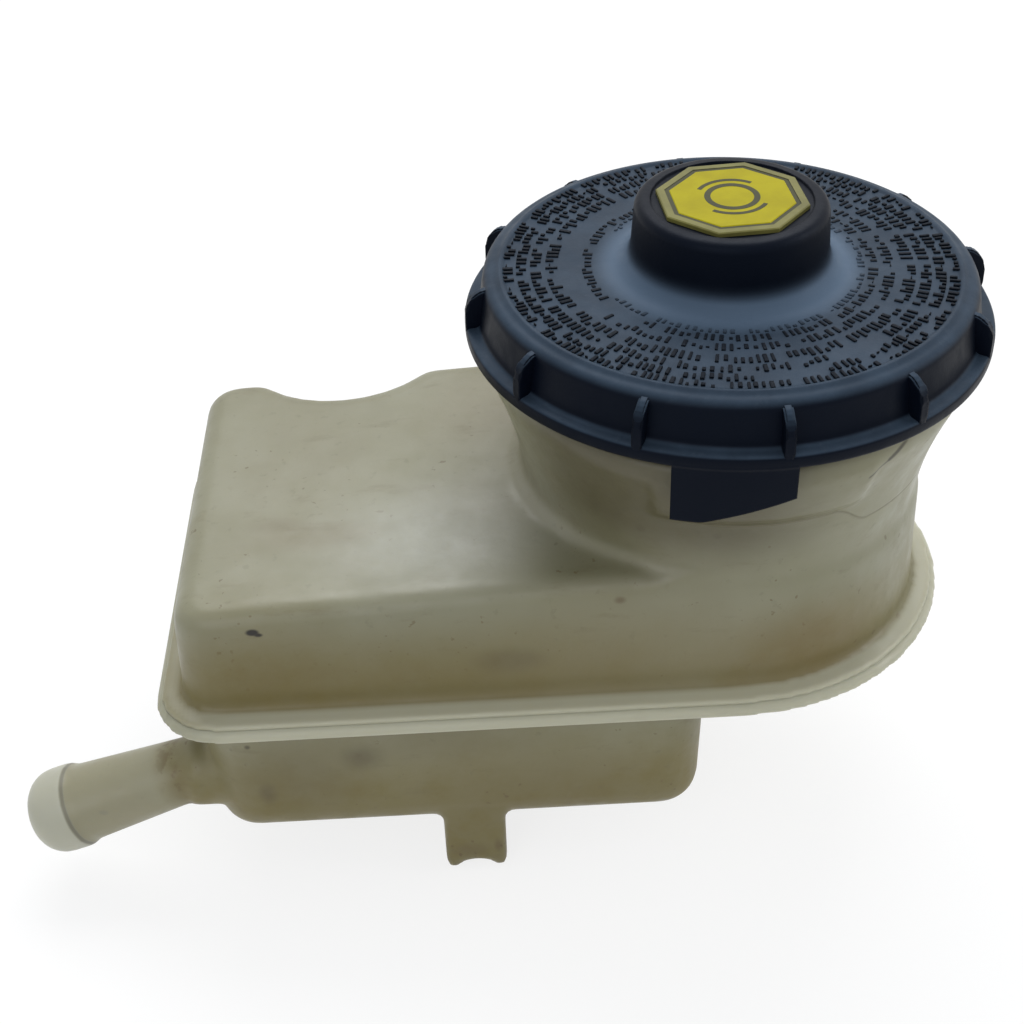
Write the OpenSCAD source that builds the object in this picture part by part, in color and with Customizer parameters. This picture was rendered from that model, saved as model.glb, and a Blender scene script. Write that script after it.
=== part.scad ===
// Car brake fluid reservoir: two moulded half tanks welded at a flange, a
// screw cap with a bellows seal, a strainer in the filler neck, and a float
// with a level switch. Millimetres. The origin is on the axis of the outlet
// under the neck end of the tub, level with the tub's underside. +Z is up,
// +X runs towards the neck end and -Y is the front with the foot.

/* [Tank plan] */
// Distance from the square end to the far outlet's axis
far_outlet_end = 16; // [15:0.5:17]
// Distance from the neck side outlet to the neck's axis
neck_x = 18; // [16:0.5:20]
// Half width of the upper half at its foot, also its round end's radius
shell_half_w = 27.2; // [26.8:0.1:28]
// Length of the upper half from the neck's axis to its square end
shell_l = 72; // [71:0.2:75]
// Radius of the upper half's upright corners
shell_corner_r = 5.3; // [5:0.1:8]
// Wall of both halves
wall = 2.2; // [1.8:0.1:2.4]
// Width of the weld flange beyond the wall
flange_ledge = 3.7; // [3:0.1:4.5]
// How far the upper flange stands inside the lower one
flange_step = 0.8; // [0.4:0.1:1.2]

/* [Heights] */
// Underside of the lower flange above the tub's underside
flange_z = 21.8; // [20.5:0.1:23]
// Thickness of the lower flange
lower_flange_t = 1.4; // [1.2:0.1:2]
// Thickness of the upper flange
upper_flange_t = 1; // [0.8:0.1:1.6]
// Height of the upper half's top at the neck's axis, above the weld
shell_h = 19.3; // [18.5:0.1:20]
// Fall of the top towards the square end, in mm for each mm
top_slope = 0.05; // [0.03:0.01:0.07]
// Radius of the top's outer edge
top_edge_r = 2.9; // [2.7:0.1:3.4]
// How far the upper wall leans in over its height
shell_draft = 0.6; // [0.3:0.1:0.9]

/* [Scallop in the back] */
// Distance of the scallop's middle from the square end
scallop_end = 20.8; // [20:0.2:22]
// Radius of the scallop
scallop_r = 14; // [12:0.5:15]
// Depth of the scallop
scallop_depth = 5.6; // [4:0.2:6]
// Radius of the scallop's shoulders
shoulder_r = 5; // [4.6:0.2:5.4]

/* [Lower tub] */
// How far the tub's end wall stands inside the square end
tub_end_inset = 1.6; // [1.2:0.1:2.4]
// Distance of the tub's other end wall from the neck side outlet
tub_neck_end = 14.2; // [13.6:0.1:14.6]
// How far the tub's front wall stands out past the upper half's
tub_front_out = 0.3; // [0:0.1:0.6]
// How far the tub's back wall stands inside the upper half's
tub_back_inset = 6.4; // [6:0.1:7]
// Radius of the tub's upright corners
tub_corner_r = 6; // [5.8:0.1:7]
// Radius of the tub's lower edge
tub_edge_r = 4.2; // [4:0.1:5.2]
// How far the tub's wall leans in over its height
tub_draft = 0.5; // [0.2:0.1:0.6]
// Height of the baffle between the two circuits
baffle_h = 10; // [6:0.5:12]
// Thickness of the baffle
baffle_t = 1.6; // [1.2:0.1:2]
// Gap from the float to the baffle's middle
baffle_gap = 1.5; // [1.4:0.1:2.4]

/* [Outlets, nipple and foot] */
// Radius of an outlet spigot
outlet_r = 5.5; // [5:0.1:6]
// Radius of an outlet's bore
outlet_bore_r = 3.2; // [2.5:0.1:3.6]
// Length of an outlet spigot
outlet_l = 10; // [9:0.5:12]
// Angle of the hose nipple below level
nipple_tilt = 20; // [15:1:25]
// Distance of the nipple's axis from the tub's front wall
nipple_inset = 6.1; // [6:0.1:7]
// Height of the nipple's bend above the tub's underside
nipple_z = 8.4; // [7.5:0.1:9]
// Radius of the nipple at its bend
nipple_root_r = 4.4; // [4:0.05:4.6]
// Radius of the nipple where its bead starts
nipple_neck_r = 5.4; // [4.8:0.1:5.5]
// Radius of the nipple's bead
nipple_bead_r = 5.9; // [5.6:0.1:6.4]
// Length of the nipple from its bend to its tip
nipple_l = 23.9; // [22:0.1:26]
// Radius of the nipple's bore
nipple_bore_r = 2.4; // [2:0.1:3]
// Width of the foot tab
foot_w = 8.5; // [7:0.1:10]
// Height of the foot tab below the tub
foot_h = 9.1; // [8:0.1:10]
// Thickness of the foot tab
foot_t = 2.4; // [2:0.1:3]
// Offset of the foot tab from the tub's middle, towards the neck
foot_offset = 1.8; // [0:0.2:4]

/* [Filler neck] */
// How far the neck's wall stands inside the thread's root
neck_step = 0.55; // [0.4:0.05:0.7]
// How far the neck's collar stands inside the cap's ring
collar_inset = 2.5; // [2.1:0.1:3]
// Drop of the collar's upper face below the cap's lower edge
collar_drop = 1.6; // [1.2:0.1:2.4]
// Drop of the collar's widest edge below the cap's lower edge
collar_edge_drop = 4.8; // [4.4:0.1:5.4]
// How sharply the neck flares out into the collar
flare_bend = 1.7; // [1.4:0.1:2]
// Wall of the neck under its thread
neck_wall = 2.4; // [2.2:0.1:2.6]
// Gap between the neck's wall and the wider seat of the strainer's rim
rim_seat = 1.2; // [1:0.1:1.4]

/* [Thread] */
// Height of the neck's thread
neck_thread_h = 1.4; // [1.2:0.1:1.5]
// Rise of the thread in one turn
thread_lead = 9; // [8.4:0.3:9.6]
// Starts of the thread
thread_starts = 3; // [3]
// Free play of the thread along its axis
thread_play = 0.25; // [0.15:0.05:0.35]
// Radial gap from each crest to the wall that it faces
crest_gap = 0.7; // [0.6:0.05:0.8]

/* [Filler cap] */
// Height of the cap's lower edge above the tub's underside
cap_z = 62.4; // [61:0.1:64]
// Radius of the ring round the cap's lower edge
cap_r = 33; // [32.6:0.1:34]
// Height of that ring
cap_ring_h = 1.9; // [1.5:0.1:2.5]
// Width of that ring's ledge
cap_ledge = 1.8; // [1.6:0.1:2.2]
// Height of the cap's disc above its lower edge
cap_h = 7.8; // [7.6:0.1:8.6]
// Thickness of the cap's disc
cap_disc_t = 1.3; // [1.2:0.1:1.5]
// Thickness of the cap's skirt
skirt_t = 2.3; // [2.2:0.1:2.4]
// How far the raised rim line stands inside the cap's wall
rim_line_inset = 2.8; // [2.4:0.1:3.2]
// Radius of the boss
boss_r = 11.9; // [11.6:0.1:12.5]
// Height of the boss above the cap's lower edge
boss_h = 16.7; // [16:0.1:18]
// Radius of the fillet round the boss
boss_fillet_r = 3.2; // [2:0.2:3.4]
// Number of grip fins
fin_count = 12; // [10:2:16]
// Thickness of a grip fin
fin_t = 1.2; // [1:0.1:1.5]
// Turn of the first fin from the front
fin_turn = 4; // [0:1:10]
// Drop of the hanging tab below the cap
tab_drop = 7.4; // [6:0.1:8]
// Thickness of the hanging tab
tab_t = 1.7; // [1.5:0.1:1.7]

/* [Badge and seal] */
// Distance from the badge's centre to its corners
badge_r = 9.4; // [8.5:0.1:10]
// Thickness of the badge
badge_t = 0.6; // [0.5:0.1:1]
// Thickness of the seal's rubber
seal_t = 1.1; // [0.9:0.1:1.2]
// Thickness of the seal's flange
seal_flange_t = 1.2; // [1.1:0.1:1.4]
// Thickness of the slip ring between the seal and the cap
slip_t = 0.5; // [0.4:0.1:0.8]
// Gap between the neck's bore and the seal's folds
seal_inset = 3.7; // [3.6:0.1:4.4]
// Depth of the seal's folds below its flange
seal_drop = 8.6; // [7:0.2:9]

/* [Strainer] */
// Depth of the strainer below its rim
strainer_depth = 24; // [20:0.5:28]
// Wall of the strainer
strainer_t = 1; // [0.8:0.1:1]
// Number of slots round the strainer
slot_count = 24; // [16:2:28]
// Width of a slot
slot_w = 1.4; // [1:0.1:1.8]

/* [Float and level switch] */
// Distance of the float's guide from the far outlet's axis
float_gap = 8; // [7.6:0.1:8.2]
// Distance of the float's guide from the tub's back wall
float_inset = 13.3; // [13:0.1:14]
// Radius of the float
float_r = 9.5; // [8.5:0.1:9.7]
// Height of the float
float_h = 10; // [9:0.5:11]
// Travel of the float
float_travel = 8; // [6:0.5:8]
// Radius of the guide pin
guide_r = 2.2; // [1.8:0.1:2.4]
// Gap between the guide pin and the float
guide_gap = 0.4; // [0.3:0.05:0.6]
// Radius of the ring magnet
magnet_r = 6; // [5.5:0.1:6.5]
// Height of the ring magnet
magnet_h = 3; // [2:0.5:4]
// Bore radius of the dry tube that takes the switch
dry_bore_r = 2.9; // [2.7:0.1:3]
// Wall of the dry tube
dry_wall = 1.3; // [1.2:0.1:1.5]
// Gap between the switch's stem and its tube
stem_gap = 0.1; // [0.05:0.05:0.15]
// Length of the reed capsule
reed_l = 12; // [10:0.5:13]
// Radius of the reed capsule
reed_r = 1.1; // [0.9:0.1:1.3]
// Width of the connector shroud
shroud_w = 13; // [12:0.5:15]
// Height of the connector shroud
shroud_h = 12; // [11.6:0.1:12.4]
// Depth of the connector shroud
shroud_d = 12; // [10:0.5:14]
// Wall of the connector shroud
shroud_t = 1.4; // [1.2:0.1:1.5]
// Radius of the connector shroud's long edges
shroud_edge_r = 1.6; // [1:0.1:1.8]
// Width of the latch on the connector shroud
latch_w = 4; // [3:0.5:6]
// Height of the latch on the connector shroud
latch_h = 1.6; // [1.2:0.1:2]

/* [Hidden] */

round_fn = 96;
small_fn = 48;
cut = 1;

shell_colour = "#c9c4ad";
cap_colour = "#23262b";
badge_colour = "#d9c81e";
rubber_colour = "#1d1d1f";

weld_z = flange_z + lower_flange_t;
top_z = weld_z + shell_h;
shell_left = neck_x - shell_l;
outlet_gap = -shell_left - far_outlet_end;
scallop_cx = shell_left + scallop_end;
scallop_cy = shell_half_w - scallop_depth + scallop_r;
shoulder_a = acos((scallop_r + shoulder_r - scallop_depth) / (scallop_r + shoulder_r));
bury = 1.2;

tub_left = shell_left + tub_end_inset;
tub_l = tub_neck_end - tub_left;
tub_cx = (tub_neck_end + tub_left) / 2;
tub_front = shell_half_w + tub_front_out;
tub_back = shell_half_w - tub_back_inset;
floor_t = wall;
nipple_y = tub_front - nipple_inset;
foot_x = tub_cx + foot_offset;
float_x = float_gap - outlet_gap;
float_y = tub_back - float_inset;
baffle_x = float_x + float_r + baffle_gap;

skirt_r = cap_r - cap_ledge;
cap_bore_r = skirt_r - skirt_t;
rim_line_r = skirt_r - rim_line_inset;
thread_root_r = cap_bore_r - neck_thread_h - crest_gap;
neck_crest_r = thread_root_r + neck_thread_h;
cap_crest_r = thread_root_r + crest_gap;
neck_r = thread_root_r - neck_step;
collar_r = cap_r - collar_inset;
neck_bore_r = thread_root_r - neck_wall;
seal_r = neck_bore_r - seal_inset;

disc_under_z = cap_z + cap_h - cap_disc_t;
seal_z = disc_under_z - slip_t;
rim_z = seal_z - seal_flange_t;
collar_z = cap_z - collar_drop;
neck_flare_z = top_z - 1.9;
flare_h = cap_z - collar_edge_drop - neck_flare_z;
flare_dr = collar_r - 0.2 - neck_r;
neck_fillet = 3;

thread_base = 1.8;
thread_crest = 0.7;
thread_flank = (thread_base - thread_crest) / 2;
neck_thread_span = 80;
cap_thread_span = 60;
thread_step = 10;
neck_thread_z = rim_z - 3.2;
cap_thread_lag = neck_thread_span - cap_thread_span + 10;
thread_offset = thread_base - thread_flank * (neck_crest_r - cap_crest_r) / neck_thread_h
                - thread_flank + thread_play;

dry_z = floor_t + dry_bore_r + dry_wall - 0.4;
reed_gap = 0.1;
stem_end_y = float_y - reed_l / 2 - reed_gap - 0.6;
dry_end_y = stem_end_y - dry_wall - 0.3;
terminal_w = 1.5;
terminal_t = 0.6;
terminal_x = 2.2;
shroud_rise = 0.2;
collar_top_z = dry_z + dry_bore_r + dry_wall + 0.4;
float_z = collar_top_z;
magnet_z = float_z + 2;
stop_z = float_z + float_h + float_travel + 0.3;
stem_r = dry_bore_r - stem_gap;
strainer_rim_t = rim_seat;

function arc(cx, cy, r, a0, a1, n) =
    [for (i = [0:n]) let (a = a0 + (a1 - a0) * i / n) [cx + r * cos(a), cy + r * sin(a)]];

// Height of the tank's sloping top over a point
function top_at(x) = top_z + top_slope * (x - neck_x);

// Plan of the upper half, inset by d. A deep round end is hidden in the neck.
function shell_plan(d, deep = 0) =
    let (w = shell_half_w - d,
         rc = shell_corner_r,
         reach = scallop_r + shoulder_r,
         sx = reach * sin(shoulder_a),
         sy = shell_half_w - shoulder_r)
    concat(
        deep > 0 ? [[neck_x - 1, -w]] : [],
        arc(neck_x, 0, w - deep, -90, 90, 24),
        deep > 0 ? [[neck_x - 1, w]] : [],
        arc(scallop_cx + sx, sy, shoulder_r - d, 90, 90 + shoulder_a, 4),
        arc(scallop_cx, scallop_cy, scallop_r + d, shoulder_a - 90, -90 - shoulder_a, 8),
        arc(scallop_cx - sx, sy, shoulder_r - d, 90 - shoulder_a, 90, 4),
        arc(shell_left + rc, shell_half_w - rc, rc - d, 90, 180, 6),
        arc(shell_left + rc, rc - shell_half_w, rc - d, 180, 270, 6));

function tub_plan(d) =
    let (x1 = tub_cx + tub_l / 2 - tub_corner_r,
         x0 = tub_cx - tub_l / 2 + tub_corner_r,
         y0 = tub_corner_r - tub_front,
         y1 = tub_back - tub_corner_r,
         r = tub_corner_r - d)
    concat(arc(x1, y0, r, -90, 0, 6), arc(x1, y1, r, 0, 90, 6),
           arc(x0, y1, r, 90, 180, 6), arc(x0, y0, r, 180, 270, 6));

// Skin over a stack of rings with equal point counts, lowest ring first
module skin(rings) {
    n = len(rings[0]);
    last = (len(rings) - 1) * n;
    sides = [for (k = [0:len(rings) - 2], j = [0:n - 1], half = [0, 1])
        let (a = k * n + j, b = k * n + (j + 1) % n)
        half == 0 ? [a, a + n, b + n] : [a, b + n, b]];
    polyhedron(
        points = [for (ring = rings, p = ring) p],
        faces = concat([[for (j = [0:n - 1]) j]], sides, [[for (j = [n - 1:-1:0]) last + j]]));
}

// Solid of the upper half out to an inset, with a rounded upper edge
module shell_body(inset, edge_r, base_z, lift = 0) {
    steps = 4;
    wall_ring = [for (p = shell_plan(inset, bury)) [p[0], p[1], base_z]];
    edge_rings = [for (k = [0:steps]) let (a = 90 * k / steps)
        [for (p = shell_plan(inset + shell_draft + edge_r * (1 - cos(a)), bury))
            [p[0], p[1], top_at(p[0]) - inset + lift - edge_r * (1 - sin(a))]]];
    skin(concat([wall_ring], edge_rings));
}

// Solid of the tub out to an inset, with a rounded lower edge
module tub_body(inset, edge_r, low_z, high_z) {
    steps = 4;
    edge_rings = [for (k = [0:steps]) let (a = 90 * k / steps)
        [for (p = tub_plan(inset + tub_draft + edge_r * (1 - sin(a))))
            [p[0], p[1], low_z + edge_r * (1 - cos(a))]]];
    wall_ring = [for (p = tub_plan(inset)) [p[0], p[1], high_z]];
    skin(concat(edge_rings, [wall_ring]));
}

// Ridge of a thread, from a base radius to a crest radius
module thread_ridge(base_r, crest_r, z0, span) {
    count = ceil(span / thread_step);
    out = crest_r > base_r;
    rings = [for (i = [0:count])
        let (a = span * i / count,
             z = z0 + thread_lead * a / 360,
             b = thread_base / 2,
             c = thread_crest / 2,
             section = out
                 ? [[base_r, z - b], [crest_r, z - c], [crest_r, z + c], [base_r, z + b]]
                 : [[crest_r, z - c], [base_r, z - b], [base_r, z + b], [crest_r, z + c]])
        [for (q = section) [q[0] * cos(a), q[0] * sin(a), q[1]]]];
    n = 4;
    last = count * n;
    sides = [for (k = [0:count - 1], j = [0:n - 1], half = [0, 1])
        let (a = k * n + j, b = k * n + (j + 1) % n)
        half == 0 ? [a, b, b + n] : [a, b + n, a + n]];
    polyhedron(
        points = [for (ring = rings, p = ring) p],
        faces = concat([[3, 2, 1, 0]], sides, [[last, last + 1, last + 2, last + 3]]));
}

// Neck with its collar, and the round end wall under it, as a solid
module neck_solid() {
    flare = [for (i = [0:8]) let (t = i / 8)
        [neck_r + flare_dr * pow(t, flare_bend), neck_flare_z + flare_h * t]];
    rotate_extrude($fn = round_fn)
        polygon(concat(
            [[0, weld_z], [shell_half_w, weld_z],
             [shell_half_w - shell_draft, top_z - top_edge_r]],
            flare,
            [[collar_r, cap_z - collar_edge_drop + 0.4], [collar_r, collar_z - 1],
             [collar_r - 1, collar_z],
             [thread_root_r, collar_z],
             [thread_root_r, rim_z - 0.5], [thread_root_r - 0.5, rim_z], [0, rim_z]]));
}

// Fillet between the neck and the tank's top
module neck_foot() {
    foot_r = neck_r + neck_fillet;
    low = top_at(neck_x - foot_r) - 0.2;
    intersection() {
        rotate_extrude($fn = round_fn)
            difference() {
                translate([neck_r - 4, weld_z + 6])
                    square([neck_fillet + 4, low + neck_fillet + 0.4 - weld_z - 6]);
                translate([foot_r + 0.35, low + neck_fillet + 0.35])
                    circle(r = neck_fillet + 0.4, $fn = small_fn);
            }
        translate([-neck_x, 0, 0])
            shell_body(0.4, top_edge_r, weld_z + 2, neck_fillet + 1);
    }
}

// Pad on the collar behind the cap's tab
module collar_pad() {
    rotate([0, 0, -114])
        rotate_extrude(angle = 51, $fn = round_fn)
            polygon([[neck_bore_r + 1, cap_z - 10.5], [collar_r - 1.6, cap_z - 10.5],
                     [collar_r - 0.6, cap_z - 7.5], [collar_r + 0.3, cap_z - 4.2],
                     [neck_bore_r + 1, cap_z - 4.2]]);
}

module upper_shell() {
    color(shell_colour)
    difference() {
        union() {
            translate([0, 0, weld_z])
                linear_extrude(upper_flange_t)
                    polygon(shell_plan(flange_step - flange_ledge));
            shell_body(0, top_edge_r, weld_z);
            translate([neck_x, 0, 0]) {
                neck_solid();
                neck_foot();
                collar_pad();
                for (i = [0:thread_starts - 1])
                    rotate([0, 0, 360 * i / thread_starts])
                        thread_ridge(thread_root_r - 0.4, neck_crest_r, neck_thread_z,
                                     neck_thread_span);
            }
        }
        difference() {
            shell_body(wall, top_edge_r - wall, weld_z - cut);
            float_stop_ribs();
        }
        translate([neck_x, 0, 0])
            rotate_extrude($fn = round_fn)
                polygon([[0, weld_z - cut], [shell_half_w - wall, weld_z - cut],
                         [shell_half_w - wall, weld_z], [neck_bore_r, top_z - top_edge_r],
                         [neck_bore_r, rim_z - rim_seat], [neck_bore_r + rim_seat, rim_z - rim_seat],
                         [neck_bore_r + rim_seat, rim_z + cut], [0, rim_z + cut]]);
    }
}

// Two ribs under the tank's top that stop the float
module float_stop_ribs() {
    for (side = [-1, 1])
        translate([float_x + side * float_r / 2 - 0.75, float_y - 5, stop_z])
            cube([1.5, 10, top_z - stop_z]);
}

module outlet() {
    rotate([180, 0, 0]) {
        translate([0, 0, -floor_t / 2])
            cylinder(r = outlet_r, h = outlet_l - 1 + floor_t / 2, $fn = small_fn);
        translate([0, 0, outlet_l - 1])
            cylinder(r1 = outlet_r, r2 = outlet_r - 0.8, h = 1, $fn = small_fn);
    }
}

module along_nipple() {
    translate([tub_left - 2.6, -nipple_y, nipple_z])
        rotate([0, -90 - nipple_tilt, 0])
            children();
}

module nipple() {
    bead_s = nipple_l - 7;
    dome_s = bead_s + 3.3;
    dome_l = nipple_l - dome_s;
    dome = [for (i = [0:5]) let (a = 90 * i / 6)
        [nipple_bead_r - dome_l * (1 - cos(a)), dome_s + dome_l * sin(a)]];
    translate([tub_left - 2.4, -nipple_y, nipple_z])
        rotate([0, 90, 0])
            cylinder(r = nipple_root_r + 0.7, h = 5, $fn = small_fn);
    along_nipple()
        rotate_extrude($fn = small_fn)
            polygon(concat(
                [[0, -1.5], [nipple_root_r, -1.5], [nipple_root_r, 0.5],
                 [nipple_neck_r, bead_s], [nipple_bead_r, bead_s + 0.3]],
                dome,
                [[nipple_bead_r - dome_l, nipple_l], [0, nipple_l]]));
}

module nipple_bore() {
    along_nipple() {
        translate([0, 0, -0.8])
            cylinder(r = nipple_bore_r, h = nipple_l + 2, $fn = small_fn);
    }
    translate([tub_left - 3, -nipple_y, nipple_z])
        rotate([0, 90, 0])
            cylinder(r = nipple_bore_r, h = 10, $fn = small_fn);
}

// Foot tab: a flat tongue with a round notch between two rounded toes
module foot_tab() {
    toe_r = 1.3;
    translate([foot_x, tub_draft - tub_front + 0.15 + foot_t, 0])
        rotate([90, 0, 0])
            linear_extrude(foot_t)
                difference() {
                    union() {
                        translate([-foot_w / 2, toe_r - foot_h])
                            square([foot_w, foot_h - toe_r + tub_edge_r]);
                        for (side = [-1, 1])
                            translate([side * (foot_w / 2 - toe_r), toe_r - foot_h])
                                circle(r = toe_r, $fn = 32);
                    }
                    translate([0, -foot_h - 1.9])
                        circle(r = 3.4, $fn = small_fn);
                }
}

module dry_tube() {
    translate([float_x, tub_back - wall / 2, dry_z])
        rotate([90, 0, 0])
            cylinder(r = dry_bore_r + dry_wall, h = tub_back - wall / 2 - dry_end_y,
                     $fn = small_fn);
    translate([float_x, float_y, floor_t]) {
        cylinder(r = guide_r + 1.2, h = collar_top_z - floor_t, $fn = small_fn);
        cylinder(r = guide_r, h = stop_z + 0.6 - floor_t, $fn = small_fn);
    }
}

module dry_bore() {
    translate([float_x, tub_back + cut, dry_z])
        rotate([90, 0, 0])
            cylinder(r = dry_bore_r, h = tub_back + cut - dry_end_y - dry_wall, $fn = small_fn);
}

module baffle() {
    translate([baffle_x - baffle_t / 2, wall / 2 - tub_front + tub_draft, floor_t / 2])
        cube([baffle_t, tub_front + tub_back - wall - 2 * tub_draft, floor_t / 2 + baffle_h]);
}

module lower_shell() {
    color(shell_colour)
    difference() {
        union() {
            difference() {
                union() {
                    tub_body(0, tub_edge_r, 0, flange_z + lower_flange_t / 2);
                    translate([0, 0, flange_z])
                        linear_extrude(lower_flange_t)
                            polygon(shell_plan(-flange_ledge));
                    nipple();
                }
                tub_body(wall, tub_edge_r - wall, floor_t, weld_z + cut);
            }
            baffle();
            dry_tube();
            foot_tab();
            outlet();
            translate([-outlet_gap, 0, 0])
                outlet();
        }
        for (x = [0, -outlet_gap])
            translate([x, 0, -outlet_l - cut])
                cylinder(r = outlet_bore_r, h = outlet_l + floor_t + 2 * cut, $fn = small_fn);
        nipple_bore();
        dry_bore();
    }
}

// Grip fin from the ring's ledge up to the cap's shoulder
module fin() {
    rotate([90, 0, 0])
        translate([0, 0, -fin_t / 2])
            linear_extrude(fin_t)
                polygon([[skirt_r - 1.5, 0.5], [cap_r, 0.5], [cap_r, cap_h - 3.6],
                         [cap_r - 0.4, cap_h - 2.4], [cap_r - 1.1, cap_h - 1.4],
                         [cap_r - 2.2, cap_h - 0.7], [cap_r - 3, cap_h - 0.75],
                         [skirt_r - 1.5, cap_h - 1]]);
}

// Tab that hangs from the ring, cut away along a slope
module hanging_tab() {
    difference() {
        rotate([0, 0, -108.8])
            rotate_extrude(angle = 25, $fn = round_fn)
                translate([cap_r - tab_t, -tab_drop])
                    square([tab_t, tab_drop + 0.8]);
        rotate([90, 0, 0])
            linear_extrude(cap_r + 5)
                polygon([[-7.2, -tab_drop], [4.6, -tab_drop + 3.6], [4.6, -tab_drop - 2],
                         [-7.2, -tab_drop - 2]]);
    }
}

module filler_cap() {
    fillet = [for (i = [0:5]) let (a = 90 * i / 5)
        [boss_r + 0.4 + boss_fillet_r * (1 - sin(a)), cap_h + boss_fillet_r * (1 - cos(a))]];
    color(cap_colour)
    translate([neck_x, 0, cap_z]) {
        difference() {
            union() {
                rotate_extrude($fn = round_fn)
                    polygon(concat(
                        [[0, cap_disc_t], [skirt_r - 1.2, 0], [cap_r - 0.4, 0], [cap_r, 0.4],
                         [cap_r, cap_ring_h - 0.3], [cap_r - 0.3, cap_ring_h],
                         [skirt_r, cap_ring_h], [skirt_r - 0.5, cap_h - 1.6],
                         [skirt_r - 1, cap_h - 0.6], [rim_line_r + 0.7, cap_h - 0.1],
                         [rim_line_r + 0.3, cap_h + 0.2], [rim_line_r - 0.3, cap_h + 0.2],
                         [rim_line_r - 0.6, cap_h]],
                        fillet,
                        [[boss_r, boss_h - 1.2], [boss_r - 0.3, boss_h - 0.5],
                         [boss_r - 0.9, boss_h], [0, boss_h]]));
                for (i = [0:fin_count - 1])
                    rotate([0, 0, fin_turn - 90 + 360 * i / fin_count])
                        fin();
                hanging_tab();
            }
            rotate_extrude($fn = round_fn)
                polygon([[0, -cut], [cap_bore_r, -cut], [cap_bore_r, cap_h - cap_disc_t],
                         [seal_r - 1.5, cap_h - cap_disc_t],
                         [seal_r - 1.5, cap_h - cap_disc_t - 1.3],
                         [seal_r - 2.9, cap_h - cap_disc_t - 1.3],
                         [seal_r - 2.9, cap_h - cap_disc_t],
                         [boss_r - 2.4, cap_h - cap_disc_t + 0.6], [boss_r - 2.4, boss_h - 2.4],
                         [0, boss_h - 2.4]]);
            rotate([0, 0, 27 - 90])
                translate([0, 0, boss_h - 0.4])
                    cylinder(r = badge_r + 0.1, h = 2, $fn = 8);
        }
        for (i = [0:thread_starts - 1])
            rotate([0, 0, 360 * i / thread_starts + cap_thread_lag])
                thread_ridge(cap_bore_r + 0.4, cap_crest_r,
                             neck_thread_z - cap_z - thread_offset
                             + thread_lead * cap_thread_lag / 360,
                             cap_thread_span);
    }
}

module cap_badge() {
    color(badge_colour)
    translate([neck_x, 0, cap_z + boss_h - 0.4])
        rotate([0, 0, 27 - 90])
            cylinder(r = badge_r, h = badge_t, $fn = 8);
}

// Folded rubber seal: a flange on the neck's rim and two hanging folds
module bellows_seal() {
    fold = 5.4;
    fold_h = 7;
    low = -seal_drop;
    color(rubber_colour)
    translate([neck_x, 0, rim_z])
        rotate_extrude($fn = round_fn)
            union() {
                translate([seal_r - seal_t, 0])
                    square([cap_bore_r - 1.3 - seal_r + seal_t, seal_flange_t]);
                translate([seal_r - seal_t, low])
                    square([seal_t, seal_flange_t - low]);
                translate([seal_r - fold, low])
                    square([fold, seal_t]);
                translate([seal_r - fold, low])
                    square([seal_t, fold_h]);
                translate([seal_r - 2 * fold, low + fold_h - seal_t])
                    square([fold + seal_t, seal_t]);
                translate([seal_r - 2 * fold, low - seal_t])
                    square([seal_t, fold_h + seal_t]);
                translate([0, low - seal_t])
                    square([seal_r - 2 * fold + seal_t, seal_t]);
            }
}

// Hard ring that lets the cap turn on the seal
module slip_ring() {
    color("#8f9498")
    translate([neck_x, 0, seal_z])
        rotate_extrude($fn = round_fn)
            translate([seal_r - seal_t + 0.4, 0])
                square([cap_bore_r - 1.8 - seal_r + seal_t, slip_t]);
}

module strainer() {
    r_top = neck_bore_r - 0.8;
    r_low = r_top - 2.6;
    hole_pitch = (r_low - 4.5) / 3;
    color("#e4e2d6")
    translate([neck_x, 0, rim_z])
        difference() {
            rotate_extrude($fn = round_fn)
                polygon([[0, -strainer_depth], [r_low, -strainer_depth],
                         [r_top, -strainer_rim_t], [neck_bore_r + rim_seat - 0.2, -strainer_rim_t],
                         [neck_bore_r + rim_seat - 0.2, 0], [r_top - strainer_t, 0],
                         [r_top - strainer_t, -strainer_rim_t],
                         [r_low - strainer_t, strainer_t - strainer_depth],
                         [0, strainer_t - strainer_depth]]);
            for (i = [0:slot_count - 1])
                rotate([0, 0, 360 * i / slot_count])
                    translate([r_low - 3, -slot_w / 2, 4 - strainer_depth])
                        cube([8, slot_w, strainer_depth - 10]);
            for (ring = [0:2], i = [0:5 + 6 * ring])
                rotate([0, 0, 360 * i / (6 + 6 * ring)])
                    translate([5 + hole_pitch * ring, 0, -strainer_depth - cut])
                        cylinder(r = 1.2, h = strainer_t + 2 * cut, $fn = 16);
        }
}

module float() {
    color("#b9a05c")
    translate([float_x, float_y, float_z])
        difference() {
            cylinder(r = float_r, h = float_h, $fn = small_fn);
            translate([0, 0, -cut])
                cylinder(r = guide_r + guide_gap, h = float_h + 2 * cut, $fn = small_fn);
            translate([0, 0, magnet_z - float_z])
                cylinder(r = magnet_r + 0.05, h = float_h, $fn = small_fn);
        }
}

module ring_magnet() {
    color("#55565a")
    translate([float_x, float_y, magnet_z])
        difference() {
            cylinder(r = magnet_r, h = magnet_h, $fn = small_fn);
            translate([0, 0, -cut])
                cylinder(r = guide_r + guide_gap + 0.4, h = magnet_h + 2 * cut, $fn = small_fn);
        }
}

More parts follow.
